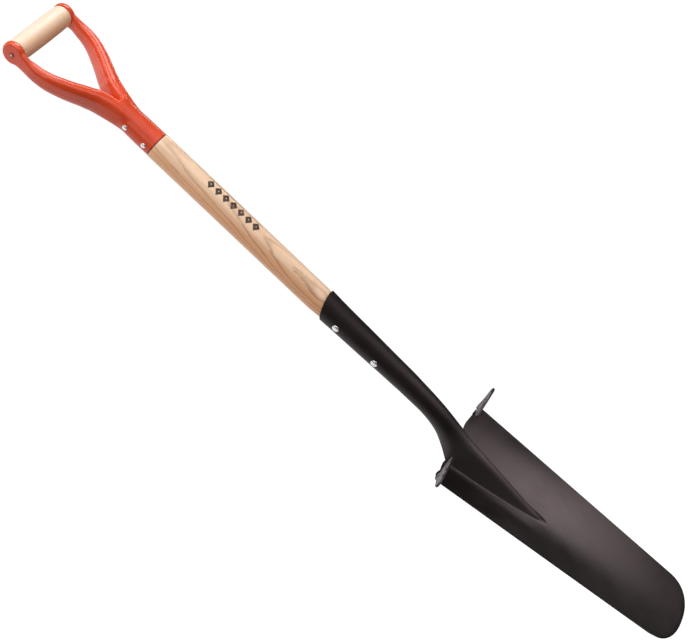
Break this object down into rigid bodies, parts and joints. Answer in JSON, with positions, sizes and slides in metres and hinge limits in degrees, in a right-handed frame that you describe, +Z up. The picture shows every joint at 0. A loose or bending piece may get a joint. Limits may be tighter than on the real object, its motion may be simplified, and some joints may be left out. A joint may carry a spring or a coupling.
{
  "type": "post hole digger spade",
  "caption": "Narrow round-nosed digging spade with a hollow blade, foot treads, a riveted wooden shaft and a steel D-handle with a turning wooden grip, for deep narrow post holes.",
  "frame": {"origin": "centre of the bounding box at ground level, under the nose of the blade; the shaft axis stands 5.86 mm in front of it, at Y = -0.00586", "axes": "+Z up the tool from the nose of the blade to the grip, X across the tool along the grip, -Y the side the hollow of the blade faces"},
  "size_m": [0.213, 0.0756, 1.1995],
  "materials": {
    "black_enamel": "satin black enamel, slightly worn at the edges",
    "tread_enamel": "satin black enamel, polished grey where a boot rubs",
    "ash": "clear lacquer over straight-grained ash",
    "grip_wood": "fine-sanded pale hardwood, waxed",
    "red_enamel": "glossy orange-red enamel",
    "rivet_steel": "bright pressed rivet heads"
  },
  "bodies": {
    "spade": {"blade": "black_enamel", "step_plate_left": "tread_enamel", "step_plate_right": "tread_enamel", "shaft": "ash", "socket_rivet_upper": "rivet_steel", "socket_rivet_lower": "rivet_steel", "handle_yoke": "red_enamel", "yoke_rivet_upper": "rivet_steel", "yoke_rivet_lower": "rivet_steel", "grip_rivet": "rivet_steel"},
    "grip": {"hand_grip": "grip_wood"}
  },
  "joints": [
    {"name": "grip_turn", "type": "hinge", "parent": "spade", "child": "grip", "pos_m": [0, -0.00586, 1.1834], "axis": [1, 0, 0], "continuous": true}
  ]
}
